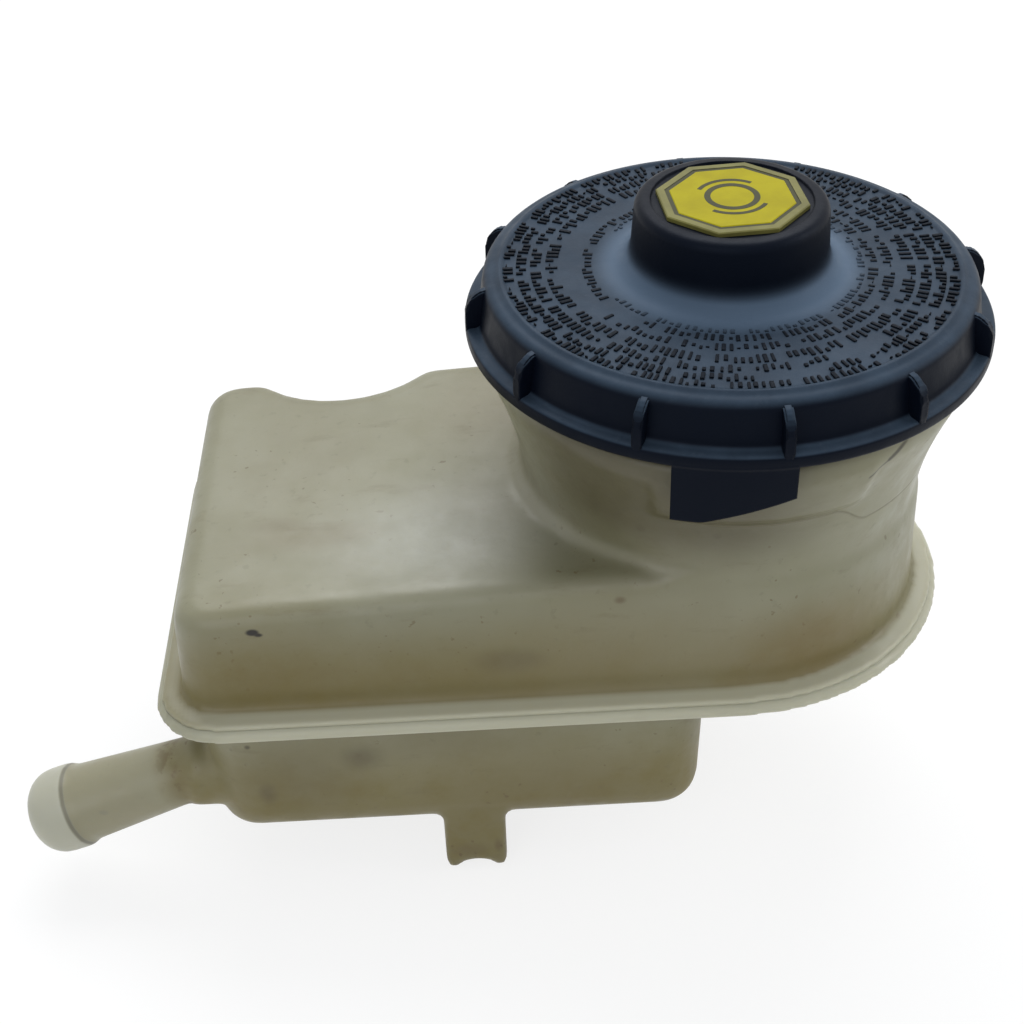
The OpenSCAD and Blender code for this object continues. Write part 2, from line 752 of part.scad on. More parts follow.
// Block along Y with four rounded long edges
module rounded_block(w, h, d, r) {
    rotate([-90, 0, 0])
        linear_extrude(d)
            polygon(concat(arc(w / 2 - r, h / 2 - r, r, 0, 90, 4),
                           arc(r - w / 2, h / 2 - r, r, 90, 180, 4),
                           arc(r - w / 2, r - h / 2, r, 180, 270, 4),
                           arc(w / 2 - r, r - h / 2, r, 270, 360, 4)));
}

// Level switch: a stem in the dry tube and a connector shroud behind the tub
module switch_housing() {
    color("#33363a")
    translate([float_x, 0, dry_z])
        difference() {
            union() {
                translate([0, tub_back + 0.5, 0])
                    rotate([90, 0, 0])
                        cylinder(r = stem_r, h = tub_back + 0.5 - stem_end_y, $fn = small_fn);
                translate([0, tub_back, shroud_rise])
                    rounded_block(shroud_w, shroud_h, shroud_d, shroud_edge_r);
                translate([-latch_w / 2, tub_back + shroud_d - 5, shroud_rise + shroud_h / 2 - 0.2])
                    rotate([90, 0, 90])
                        linear_extrude(latch_w)
                            polygon([[0, 0], [4, 0], [4, 0.6], [1.2, latch_h + 0.2],
                                     [0, latch_h + 0.2]]);
            }
            translate([0, float_y + reed_l / 2 + reed_gap, 0])
                rotate([90, 0, 0])
                    cylinder(r = reed_r + reed_gap, h = reed_l + 2 * reed_gap, $fn = small_fn);
            translate([0, tub_back + 2, shroud_rise])
                rounded_block(shroud_w - 2 * shroud_t, shroud_h - 2 * shroud_t, shroud_d, 0.4);
            for (side = [-1, 1])
                translate([side * terminal_x - terminal_w / 2, tub_back + 0.4, 0])
                    cube([terminal_w, 3, terminal_t]);
        }
}

module reed_capsule() {
    color("#9fb8ae")
    translate([float_x, float_y + reed_l / 2, dry_z])
        rotate([90, 0, 0])
            cylinder(r = reed_r, h = reed_l, $fn = small_fn);
}

module terminal(side) {
    color("#b7892f")
    translate([float_x + side * terminal_x - terminal_w / 2, tub_back + 0.4, dry_z])
        cube([terminal_w, shroud_d - 2.5, terminal_t]);
}

upper_shell();
lower_shell();
filler_cap();
cap_badge();
slip_ring();
bellows_seal();
strainer();
float();
ring_magnet();
switch_housing();
reed_capsule();
terminal(-1);  // left_terminal
terminal(1);  // right_terminal
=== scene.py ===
"""Looks of the brake fluid reservoir: aged natural plastic tank, black screw cap, yellow badge."""

import math
import random

import bmesh
import bpy
from mathutils import Matrix, Vector


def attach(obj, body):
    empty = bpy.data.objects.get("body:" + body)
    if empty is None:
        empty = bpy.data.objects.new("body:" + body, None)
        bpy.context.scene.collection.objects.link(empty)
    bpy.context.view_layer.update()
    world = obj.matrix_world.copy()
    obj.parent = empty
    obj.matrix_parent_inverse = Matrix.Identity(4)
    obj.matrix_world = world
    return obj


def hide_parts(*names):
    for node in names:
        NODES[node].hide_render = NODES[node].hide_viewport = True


MM = 0.001

# Places in mm: the neck's axis, the cap's lower edge, the weld of the two halves and the floor.
NECK_X = 18.0
CAP_Z = 62.4
WELD_Z = 23.2
FLOOR_Z = -10.05

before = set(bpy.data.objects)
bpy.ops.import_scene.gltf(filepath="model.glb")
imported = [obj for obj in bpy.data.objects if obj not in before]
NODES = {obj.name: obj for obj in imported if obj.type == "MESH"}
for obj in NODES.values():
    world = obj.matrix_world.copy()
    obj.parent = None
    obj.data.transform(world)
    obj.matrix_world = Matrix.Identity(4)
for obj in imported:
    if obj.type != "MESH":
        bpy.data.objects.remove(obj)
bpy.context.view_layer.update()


# Colour and node helpers

def colour(hex_value):
    """Linear colour from an sRGB hex value, with a full alpha."""
    channels = [int(hex_value[i:i + 2], 16) / 255 for i in (1, 3, 5)]
    linear = [c / 12.92 if c <= 0.04045 else ((c + 0.055) / 1.055) ** 2.4 for c in channels]
    return tuple(linear) + (1.0,)


def add(tree, kind, settings=None, links=None):
    """One node: settings are its properties, links its incoming sockets."""
    node = tree.nodes.new(kind)
    for name, value in (settings or {}).items():
        setattr(node, name, value)
    for socket, source in (links or {}).items():
        tree.links.new(source, node.inputs[socket])
    return node


def fill(tree, node, entries):
    """Fills sockets by index with a link or a plain value."""
    for index, value in entries:
        if isinstance(value, bpy.types.NodeSocket):
            tree.links.new(value, node.inputs[index])
        else:
            node.inputs[index].default_value = value


def new_material(name):
    material = bpy.data.materials.new(name)
    material.use_nodes = True
    tree = material.node_tree
    shader = tree.nodes["Principled BSDF"]
    place = tree.nodes.new("ShaderNodeTexCoord").outputs["Object"]
    return material, tree, shader, place


def noise(tree, place, grain_mm, detail=4.0, roughness=0.55, seed=0.0, stretch=(1, 1, 1)):
    """Noise whose blobs are about grain_mm wide."""
    shifted = add(tree, "ShaderNodeMapping", links={"Vector": place})
    shifted.inputs["Location"].default_value = (seed, seed * 0.7, seed * 1.3)
    shifted.inputs["Scale"].default_value = stretch
    node = add(tree, "ShaderNodeTexNoise", links={"Vector": shifted.outputs[0]})
    node.inputs["Scale"].default_value = 1 / (grain_mm * MM)
    node.inputs["Detail"].default_value = detail
    node.inputs["Roughness"].default_value = roughness
    return node.outputs["Fac"]


def ramp(tree, value, low, high, out_low=0.0, out_high=1.0):
    """Soft step from out_low to out_high while the value goes from low to high."""
    node = add(tree, "ShaderNodeMapRange", {"interpolation_type": "SMOOTHSTEP"}, {"Value": value})
    node.inputs["From Min"].default_value = low
    node.inputs["From Max"].default_value = high
    node.inputs["To Min"].default_value = out_low
    node.inputs["To Max"].default_value = out_high
    return node.outputs[0]


def mix(tree, factor, first, second):
    node = add(tree, "ShaderNodeMix", {"data_type": "RGBA", "blend_type": "MIX"})
    fill(tree, node, ((0, factor), (6, first), (7, second)))
    return node.outputs[2]


def maths(tree, operation, first, second=0.0):
    node = add(tree, "ShaderNodeMath", {"operation": operation})
    fill(tree, node, ((0, first), (1, second)))
    return node.outputs[0]


def times(tree, first, second):
    return maths(tree, "MULTIPLY", first, second)


def bump(tree, shader, height, distance_mm, strength, normal=None):
    node = add(tree, "ShaderNodeBump", links={"Height": height})
    node.inputs["Distance"].default_value = distance_mm * MM
    node.inputs["Strength"].default_value = strength
    if normal is not None:
        tree.links.new(normal, node.inputs["Normal"])
    tree.links.new(node.outputs[0], shader.inputs["Normal"])


def vector_maths(tree, operation, first, second):
    node = add(tree, "ShaderNodeVectorMath", {"operation": operation})
    fill(tree, node, ((0, first), (1, second)))
    return node


def spot(tree, place, centre_mm, radius_mm, edge_mm, stretch):
    """Mask of one small mark at a point of the object."""
    away = vector_maths(tree, "SUBTRACT", place, [c * MM for c in centre_mm])
    scaled = vector_maths(tree, "MULTIPLY", away.outputs[0], stretch)
    length = add(tree, "ShaderNodeVectorMath", {"operation": "LENGTH"}, {0: scaled.outputs[0]})
    return ramp(tree, length.outputs["Value"], (radius_mm + edge_mm) * MM, (radius_mm - edge_mm) * MM)


def streak(tree, place, start_mm, end_mm, radius_mm, edge_mm):
    """Mask of a thin mark between two points of the object."""
    start, span = Vector(start_mm) * MM, (Vector(end_mm) - Vector(start_mm)) * MM
    away = vector_maths(tree, "SUBTRACT", place, start)
    along = vector_maths(tree, "DOT_PRODUCT", away.outputs[0], span / span.length_squared)
    share = add(tree, "ShaderNodeClamp", links={"Value": along.outputs["Value"]})
    nearest = add(tree, "ShaderNodeVectorMath", {"operation": "SCALE"}, {"Scale": share.outputs[0]})
    nearest.inputs[0].default_value = span
    offset = vector_maths(tree, "DISTANCE", away.outputs[0], nearest.outputs[0])
    return ramp(tree, offset.outputs["Value"], (radius_mm + edge_mm) * MM, (radius_mm - edge_mm) * MM)


# Finishes

# Marks on each half of the tank: centre in mm, radius, soft edge, stretch, share, colour.
UPPER_MARKS = (
    # The first mark is a painted glow of light on the top, pale grey, not a stain.
    ((-20.0, -14.0, 40.6), 8.5, 8.0, (0.7, 1, 1), 0.5, "#acada4"),
    ((-8.0, -7.0, 42.0), 9.5, 8.5, (1, 0.8, 1), 0.2, "#6d5f45"),
    ((-12.0, 15.0, 41.0), 9.0, 8.0, (1, 1, 1), 0.35, "#6f6247"),
    ((-40.0, 3.0, 39.7), 13.0, 11.0, (1, 0.6, 1), 0.2, "#756a4e"),
    ((-43.0, -27.0, 28.0), 9.0, 7.0, (0.8, 1, 1), 0.7, "#655823"),
    ((-20.0, -27.0, 26.5), 8.0, 7.0, (0.4, 1, 1), 0.6, "#665927"),
    ((6.0, -27.0, 31.0), 9.0, 8.0, (0.6, 1, 1), 0.3, "#75694a"),
    ((27.0, -25.0, 28.5), 6.0, 5.0, (0.6, 1, 1), 0.7, "#675728"),
    ((-11.5, -26.9, 30.3), 1.7, 1.3, (0.45, 1, 1), 0.35, "#4d4325"),
    ((-43.1, -26.6, 36.8), 0.6, 0.2, (0.75, 1, 1.3), 1.0, "#140e06"),
    ((6.0, -24.5, 51.0), 8.0, 7.0, (0.7, 1, 0.9), 0.5, "#5a543a"),
    ((-42.4, -26.6, 36.4), 0.4, 0.2, (0.8, 1, 1.5), 1.0, "#1b1409"),
    ((4.9, -23.9, 48.0), 0.55, 0.35, (1, 1, 1), 0.6, "#3a3120"),
    ((11.4, -26.7, 49.3), 0.35, 0.2, (1, 1, 1), 0.6, "#3a3120"),
    ((13.7, -27.1, 48.8), 0.5, 0.25, (1, 1, 1), 0.75, "#33291a"),
    ((0.8, -25.2, 59.4), 0.7, 0.5, (1, 1, 1), 0.5, "#4a4029"),
    ((2.3, -26.6, 39.0), 0.45, 0.3, (0.7, 1, 1), 0.55, "#4f3a1d"),
    ((-36.0, -12.0, 39.8), 2.2, 1.6, (0.3, 1, 1), 0.25, "#6b5d3f"),
    ((-41.0, -9.0, 39.6), 1.2, 0.9, (0.4, 1, 1), 0.3, "#665a3f"),
    ((40.6, -16.0, 24.2), 0.5, 0.3, (1, 1, 1), 0.6, "#5a4722"),
)
LOWER_MARKS = (
    ((-40.0, -27.2, 12.0), 6.0, 5.0, (0.8, 1, 1), 0.5, "#5f5635"),
    ((-31.4, -27.3, 14.6), 1.8, 1.6, (0.8, 1, 1), 0.5, "#473e22"),
    ((-8.0, -27.1, 7.0), 7.0, 6.0, (0.6, 1, 1), 0.3, "#665c3c"),
    ((-22.0, -27.2, 17.5), 4.0, 3.0, (0.4, 1, 1), 0.3, "#5c5231"),
    ((-48.2, -26.6, 17.0), 0.35, 0.2, (1, 1, 1), 0.7, "#352c19"),
    ((-46.1, -27.3, 17.7), 0.35, 0.2, (1, 1, 1), 0.7, "#352c19"),
    ((4.7, -30.9, 22.8), 0.5, 0.3, (0.5, 1, 1), 0.7, "#4a3519"),
    ((-67.0, -26.2, 5.6), 0.35, 0.2, (0.6, 1, 1), 0.7, "#352c19"),
    ((-44.5, -27.0, 8.5), 1.0, 0.8, (1, 1, 0.6), 0.5, "#4f4527"),
    ((-64.0, -25.6, 4.0), 2.4, 2.0, (0.5, 1, 1), 0.35, "#77683f"),
    ((-18.0, -26.8, -5.2), 1.2, 0.9, (0.6, 1, 1), 0.35, "#5a4a2a"),
    ((-14.2, -26.8, -4.6), 0.5, 0.4, (1, 1, 0.5), 0.5, "#55421f"),
    ((-56.5, -25.4, 9.0), 1.5, 1.2, (1, 1, 0.5), 0.35, "#6d6040"),
)
# Marks with a wider edge than this in mm are soft and mottled, the rest are crisp specks.
SOFT_MARK_EDGE = 0.6
# Dirt in the neck's dent: start and end in mm, and half the width.
DIRT_LINES = (
    ((36.6, -24.4, 60.4), (33.6, -26.2, 58.2), 0.32),
    ((33.6, -26.2, 58.2), (31.2, -27.3, 56.6), 0.18),
)
# The hose nipple's axis in the plane of X and Z, and places along it in mm from the frame's origin.
NIPPLE_AXIS = (-0.9397, -0.342)
NIPPLE_ROOT = (48.5, 50.0, 50.5, 53.0)
NIPPLE_PALE = (49.5, 53.5)
NIPPLE_SEAM = 65.8


def collar_line(tree, position):
    """Mask of the fine line that runs round the neck under the pad of the collar."""
    across = maths(tree, "SUBTRACT", position.outputs["X"], NECK_X * MM)
    angle = maths(tree, "ARCTAN2", position.outputs["Y"], across)
    level = ramp(tree, angle, math.radians(-57), math.radians(-70), 47.1 * MM, 50.8 * MM)
    gap = maths(tree, "ABSOLUTE", maths(tree, "SUBTRACT", position.outputs["Z"], level))
    reach = times(tree, ramp(tree, angle, math.radians(-112), math.radians(-100)),
                  ramp(tree, angle, math.radians(10), math.radians(-20)))
    return times(tree, ramp(tree, gap, 0.32 * MM, 0.06 * MM), reach)


def upper_details(tree, place, position, mottle, body, height):
    """Painted shade on the front and left of the neck, the line under its collar and the dirt in its dent.
    """
    x, y, z = (position.outputs[axis] for axis in "XYZ")
    # Painted shade: darker on the front and left of the neck, fading to the right and the back.
    painted_neck_shade = times(tree, ramp(tree, z, 41 * MM, 50 * MM), ramp(tree, x, 34 * MM, 14 * MM))
    painted_neck_shade = times(tree, painted_neck_shade, ramp(tree, y, -8 * MM, -22 * MM, out_high=0.95))
    body = mix(tree, painted_neck_shade, body, colour("#4f4a33"))
    line = collar_line(tree, position)
    body = mix(tree, times(tree, line, 0.45), body, colour("#5d573f"))
    for start, end, width in DIRT_LINES:
        mark = times(tree, streak(tree, place, start, end, width, edge_mm=0.2), mottle)
        body = mix(tree, times(tree, mark, 0.8), body, colour("#2c2514"))
    return body, maths(tree, "SUBTRACT", height, times(tree, line, 1.2))


def lower_details(tree, place, position, mottle, body, height):
    """Paler hose nipple with dirt at its root, and a fine mould seam before its tip."""
    along = maths(tree, "ADD", times(tree, position.outputs["X"], NIPPLE_AXIS[0]),
                  times(tree, position.outputs["Z"], NIPPLE_AXIS[1]))
    nipple = ramp(tree, along, *(p * MM for p in NIPPLE_PALE))
    body = mix(tree, times(tree, nipple, 0.55), body, colour("#9c9a86"))
    root_start, root_full, root_fade, root_end = (p * MM for p in NIPPLE_ROOT)
    root = times(tree, ramp(tree, along, root_start, root_full), ramp(tree, along, root_end, root_fade))
    crumbs = noise(tree, place, 2.2, detail=4.0, roughness=0.6, seed=0.35)
    root = times(tree, root, ramp(tree, crumbs, 0.45, 0.6))
    body = mix(tree, times(tree, root, 0.6), body, colour("#5c4c2a"))
    tip = ramp(tree, along, (NIPPLE_SEAM - 0.3) * MM, NIPPLE_SEAM * MM)
    seam = times(tree, tip, ramp(tree, along, (NIPPLE_SEAM + 0.6) * MM, (NIPPLE_SEAM + 0.2) * MM))
    body = mix(tree, times(tree, tip, 0.6), body, colour("#b9b9ab"))
    body = mix(tree, times(tree, seam, 0.7), body, colour("#4c462f"))
    return body, height


def aged_tank_plastic(name, marks, details, brown_low, brown_high, brown_share, pale_low, pale_high):
    """Natural polypropylene, injection-moulded, then yellowed by brake fluid and heat.

    It looks cloudy and satin, lets a little light in, and is browner low on the walls. Heights are in mm.
    """
    material, tree, shader, place = new_material(name)
    position = add(tree, "ShaderNodeSeparateXYZ", links={0: place})
    x, y, z = (position.outputs[axis] for axis in "XYZ")

    # Cloudy ground
    cloud = ramp(tree, noise(tree, place, 26, detail=3.0, roughness=0.5, seed=0.31), 0.35, 0.68)
    patch = ramp(tree, noise(tree, place, 9, detail=4.0, roughness=0.6, seed=0.77), 0.42, 0.72)
    pale = mix(tree, cloud, colour("#878670"), colour("#7b7960"))
    pale = mix(tree, times(tree, patch, 0.3), pale, colour("#77745c"))

    # Brown low on the walls: partly a stain that the fluid left, partly painted shade that makes the front
    # walls darkest
    low = ramp(tree, z, brown_high * MM, brown_low * MM)
    # Painted shade: the extra brown on the front walls, which face away from the light.
    painted_front_shade = ramp(tree, y, 10 * MM, -24 * MM)
    stain_and_shade = times(tree, low, maths(tree, "ADD", 0.45, times(tree, painted_front_shade, 0.55)))
    stain_and_shade = times(tree, stain_and_shade, maths(tree, "ADD", 0.85, times(tree, patch, 0.25)))
    body = mix(tree, times(tree, stain_and_shade, brown_share), pale, colour("#6d6232"))

    # Wisps, grain and flecks of dirt
    wisp = noise(tree, place, 4, detail=5.0, roughness=0.65, seed=0.41, stretch=(0.35, 1, 1.3))
    body = mix(tree, times(tree, ramp(tree, wisp, 0.56, 0.74), 0.34), body, colour("#5f5436"))
    grain = noise(tree, place, 1.6, detail=3.0, roughness=0.6, seed=0.13)
    body = mix(tree, ramp(tree, grain, 0.6, 0.75, out_high=0.2), body, colour("#4f4830"))
    specks = noise(tree, place, 1.1, detail=2.0, roughness=0.5, seed=0.57)
    areas = noise(tree, place, 12, detail=2.0, roughness=0.5, seed=0.93)
    fleck = times(tree, ramp(tree, specks, 0.68, 0.73), ramp(tree, areas, 0.48, 0.6))
    body = mix(tree, times(tree, fleck, 0.6), body, colour("#54431f"))

    # Marks at their own places
    uneven = noise(tree, place, 3.5, detail=4.0, roughness=0.65, seed=0.6)
    mottle = maths(tree, "ADD", 0.65, times(tree, uneven, 0.7))
    for centre, radius, edge, stretch, share, shade in marks:
        mark = spot(tree, place, centre, radius, edge, stretch)
        if edge > SOFT_MARK_EDGE:
            mark = times(tree, mark, mottle)
        body = mix(tree, times(tree, mark, share), body, colour(shade))

    # The flange is pale: partly its thin wall, partly a painted highlight along its rounded edge
    pale_flange_and_highlight = times(tree, ramp(tree, z, (pale_low - 0.3) * MM, (pale_low + 0.1) * MM),
                ramp(tree, z, (pale_high + 0.3) * MM, (pale_high - 0.1) * MM))
    # Painted highlight: less of it at the left end of the flange.
    pale_flange_and_highlight = times(tree, pale_flange_and_highlight, ramp(tree, x, -56 * MM, -46 * MM, 0.35, 0.82))
    body = mix(tree, pale_flange_and_highlight, body, colour("#b3b19c"))

    height = noise(tree, place, 3.2, detail=5.0, roughness=0.6, seed=0.9)
    body, height = details(tree, place, position, mottle, body, height)
    tree.links.new(body, shader.inputs["Base Color"])
    gloss = noise(tree, place, 5, detail=4.0, roughness=0.6, seed=0.5)
    tree.links.new(ramp(tree, gloss, 0.3, 0.7, 0.34, 0.5), shader.inputs["Roughness"])
    shader.inputs["IOR"].default_value = 1.49
    shader.inputs["Subsurface Weight"].default_value = 0.3
    shader.inputs["Subsurface Radius"].default_value = (1.0, 0.9, 0.6)
    shader.inputs["Subsurface Scale"].default_value = 1.4 * MM
    bump(tree, shader, height, distance_mm=0.12, strength=0.5)
    return material


# The dust and the painted sheen fade out between these heights in mm above the cap's lower edge, below the
# boss's top.
DUST_AND_SHEEN_FULL = 10
DUST_AND_SHEEN_NONE = 12
# Radii in mm between which the foot of the boss has a painted grey highlight on its fillet.
FILLET_HIGHLIGHT_RADII = (12.0, 12.8, 14.0, 17.5)


def cap_plastic(name, base, sheen_and_dust_colour, sheen_and_dust_share, roughness_low, roughness_high):
    """Glass-filled nylon, moulded with a fine spark-eroded grain.

    It looks blue-black and dull. Faces that look up have a grey cast: dust and age, and a painted sheen
    that stands in for the bright surroundings they reflect.
    """
    material, tree, shader, place = new_material(name)
    normal = tree.nodes["Texture Coordinate"].outputs["Normal"]
    facing = add(tree, "ShaderNodeSeparateXYZ", links={0: normal})
    position = add(tree, "ShaderNodeSeparateXYZ", links={0: place})
    # Grey on faces that look up: partly dust, partly painted sheen of the bright surroundings, none on the
    # boss's top.
    upward = ramp(tree, facing.outputs["Z"], 0.35, 0.95)
    disc = ramp(tree, position.outputs["Z"], (CAP_Z + DUST_AND_SHEEN_NONE) * MM, (CAP_Z + DUST_AND_SHEEN_FULL) * MM)
    cloud = noise(tree, place, 7, detail=5.0, roughness=0.65, seed=0.2)
    dust_and_sheen = times(tree, times(tree, upward, ramp(tree, cloud, 0.3, 0.75, 0.65, 1.0)), sheen_and_dust_share)
    body = mix(tree, times(tree, dust_and_sheen, disc), colour(base), colour(sheen_and_dust_colour))
    scuffs = noise(tree, place, 1.4, detail=4.0, roughness=0.7, seed=0.8)
    worn = times(tree, ramp(tree, scuffs, 0.55, 0.8, out_high=0.25), upward)
    body = mix(tree, times(tree, worn, disc), body, colour("#48525d"))

    # Painted highlight: a paler grey ring on the fillet at the foot of the boss.
    across = maths(tree, "SUBTRACT", position.outputs["X"], NECK_X * MM)
    squares = maths(tree, "ADD", maths(tree, "POWER", across, 2.0),
                    maths(tree, "POWER", position.outputs["Y"], 2.0))
    reach = maths(tree, "SQRT", squares)
    inner_start, inner_full, outer_full, outer_end = (r * MM for r in FILLET_HIGHLIGHT_RADII)
    foot = times(tree, ramp(tree, reach, outer_end, outer_full), ramp(tree, reach, inner_start, inner_full))
    body = mix(tree, times(tree, times(tree, foot, disc), 0.85), body, colour("#56677a"))
    tree.links.new(body, shader.inputs["Base Color"])

    gloss = noise(tree, place, 3, detail=4.0, roughness=0.6, seed=0.6)
    tree.links.new(ramp(tree, gloss, 0.3, 0.7, roughness_low, roughness_high), shader.inputs["Roughness"])
    shader.inputs["IOR"].default_value = 1.5
    shader.inputs["Specular IOR Level"].default_value = 0.12
    shader.inputs["Specular Tint"].default_value = colour("#b0bfd8")
    edge = add(tree, "ShaderNodeBevel", {"samples": 4})
    edge.inputs["Radius"].default_value = 0.35 * MM
    # The real grain is finer than a pixel, so it is drawn coarser.
    grain = noise(tree, place, 0.35, detail=2.0, roughness=0.5, seed=0.4)
    bump(tree, shader, grain, distance_mm=0.02, strength=0.6, normal=edge.outputs[0])
    return material


def plain_plastic(name, base, shade, roughness, grain_mm=4.0, gloss=0.5):
    """Moulded plastic with a little colour variation and a fine grain."""
    material, tree, shader, place = new_material(name)
    body = mix(tree, ramp(tree, noise(tree, place, grain_mm), 0.35, 0.7), colour(base), colour(shade))
    tree.links.new(body, shader.inputs["Base Color"])
    shader.inputs["Roughness"].default_value = roughness
    shader.inputs["IOR"].default_value = 1.48
    shader.inputs["Specular IOR Level"].default_value = gloss
    bump(tree, shader, noise(tree, place, grain_mm / 8, detail=3.0), distance_mm=0.03, strength=0.5)
    return material


def foam(name):
    """Closed-cell foam rubber: small cells, matt."""
    material, tree, shader, place = new_material(name)
    cells = add(tree, "ShaderNodeTexVoronoi", {"feature": "DISTANCE_TO_EDGE"}, {"Vector": place})
    cell_mm = 0.6
    cells.inputs["Scale"].default_value = 1 / (cell_mm * MM)
    wall = ramp(tree, cells.outputs["Distance"], 0.0, 0.25)
    body = mix(tree, wall, colour("#8b713a"), colour("#b59a5b"))
    tree.links.new(body, shader.inputs["Base Color"])
    shader.inputs["Roughness"].default_value = 0.85
    bump(tree, shader, cells.outputs["Distance"], distance_mm=0.08, strength=0.6)
    return material


def metal(name, base, shade, roughness, metallic=1.0):
    """Metal or ferrite with a slightly uneven tone."""
    material, tree, shader, place = new_material(name)
    body = mix(tree, ramp(tree, noise(tree, place, 1.5), 0.35, 0.7), colour(base), colour(shade))
    tree.links.new(body, shader.inputs["Base Color"])
    shader.inputs["Metallic"].default_value = metallic
    shader.inputs["Roughness"].default_value = roughness
    bump(tree, shader, noise(tree, place, 0.4, detail=2.0), distance_mm=0.01, strength=0.5)
    return material


# Mesh helpers

def new_object(name, mesh, materials):
    piece = bpy.data.objects.new(name, mesh)
    bpy.context.scene.collection.objects.link(piece)
    for material in materials:
        piece.data.materials.append(material)
    return piece


def bake_modifiers(piece):
    """Turns a piece with live modifiers into a plain mesh."""
    evaluated = piece.evaluated_get(bpy.context.evaluated_depsgraph_get())
    mesh = bpy.data.meshes.new_from_object(evaluated)
    old = piece.data
    piece.modifiers.clear()
    piece.data = mesh
    bpy.data.meshes.remove(old)


def smooth_shade(piece, degrees):
    piece.data.shade_smooth()
    piece.data.set_sharp_from_angle(angle=math.radians(degrees))


def close_weld(piece, node):
    """Presses the softened edge of a flange against the other half, so that the weld shows no gap."""
    reach, depth = 0.55, 0.3
    for vertex in piece.data.vertices:
        gap = abs(vertex.co.z / MM - WELD_Z)
        if gap < reach:
            press = depth * (1 - gap / reach)
            vertex.co.z += (-press if node == "upper_shell" else press) * MM


def moulded(node, name, material, voxel_mm, passes):
    """Copy of a CAD shell with softened edges, as a mould gives them."""
    mesh = NODES[node].data.copy()
    mesh.materials.clear()
    work = bmesh.new()
    work.from_mesh(mesh)
    bmesh.ops.remove_doubles(work, verts=work.verts, dist=0.002 * MM)
    work.to_mesh(mesh)
    work.free()
    piece = new_object(name, mesh, [material])
    remesh = piece.modifiers.new("melt", "REMESH")
    remesh.mode = "VOXEL"
    remesh.voxel_size = voxel_mm * MM
    soften = piece.modifiers.new("soften", "SMOOTH")
    soften.factor = 0.5
    soften.iterations = passes
    bake_modifiers(piece)
    close_weld(piece, node)
    piece.data.shade_smooth()
    piece.data.materials.clear()
    piece.data.materials.append(material)
    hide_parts(node)
    return piece


def arc(cx, cz, radius, start, end, steps):
    """Points of an arc in a lathe profile, angles in degrees from the outward axis."""
    points = []
    for i in range(steps + 1):
        a = math.radians(start + (end - start) * i / steps)
        points.append((cx + radius * math.cos(a), cz + radius * math.sin(a)))
    return points


def lathe(work, profile, segments, centre):
    """Turns a profile of (radius, height) round an upright axis. It starts and ends on that axis."""
    rings = []
    for radius, height in profile:
        if radius == 0:
            rings.append([work.verts.new((centre[0], centre[1], centre[2] + height))])
        else:
            rings.append([work.verts.new((centre[0] + radius * math.cos(2 * math.pi * k / segments),
                                          centre[1] + radius * math.sin(2 * math.pi * k / segments),
                                          centre[2] + height)) for k in range(segments)])
    for low, high in zip(rings, rings[1:]):
        for k in range(segments):
            j = (k + 1) % segments
            corners = [low[k % len(low)], low[j % len(low)], high[j % len(high)], high[k % len(high)]]
            unique = list(dict.fromkeys(corners))
            if len(unique) > 2:
                work.faces.new(unique)


def prism(work, outline, turn):
    """Closed solid between two copies of an outline; turn maps (side, point) to a place."""
    sides = [[work.verts.new(turn(side, point)) for point in outline] for side in (-1, 1)]
    count = len(outline)
    for k in range(count):
        j = (k + 1) % count
        work.faces.new((sides[0][k], sides[0][j], sides[1][j], sides[1][k]))
    work.faces.new(list(reversed(sides[0])))
    work.faces.new(sides[1])


def sweep(work, sections, ends=True, material_index=0):
    """Closed skin over a row of four-cornered sections."""
    faces = []
    for near, far in zip(sections, sections[1:]):
        for k in range(4):
            j = (k + 1) % 4
            faces.append(work.faces.new((near[k], near[j], far[j], far[k])))
    if ends:
        faces.append(work.faces.new(list(reversed(sections[0]))))
        faces.append(work.faces.new(sections[-1]))
    for face in faces:
        face.material_index = material_index


def finish_mesh(work, name, materials):
    """Object from work that was drawn in mm."""
    for vertex in work.verts:
        vertex.co *= MM
    bmesh.ops.recalc_face_normals(work, faces=work.faces)
    mesh = bpy.data.meshes.new(name)
    work.to_mesh(mesh)
    work.free()
    return new_object(name, mesh, materials)


# Screw cap

CAP = {
    "ring_r": 33.0, "ring_h": 1.9, "wall_r": 31.2, "disc_z": 7.8, "disc_t": 1.3, "bore_r": 28.9,
    "rim_r": 28.4, "boss_r": 11.9, "boss_h": 16.7, "fillet_r": 3.2,
    "fins": 12, "fin_t": 1.2, "fin_turn": 4.0,
}


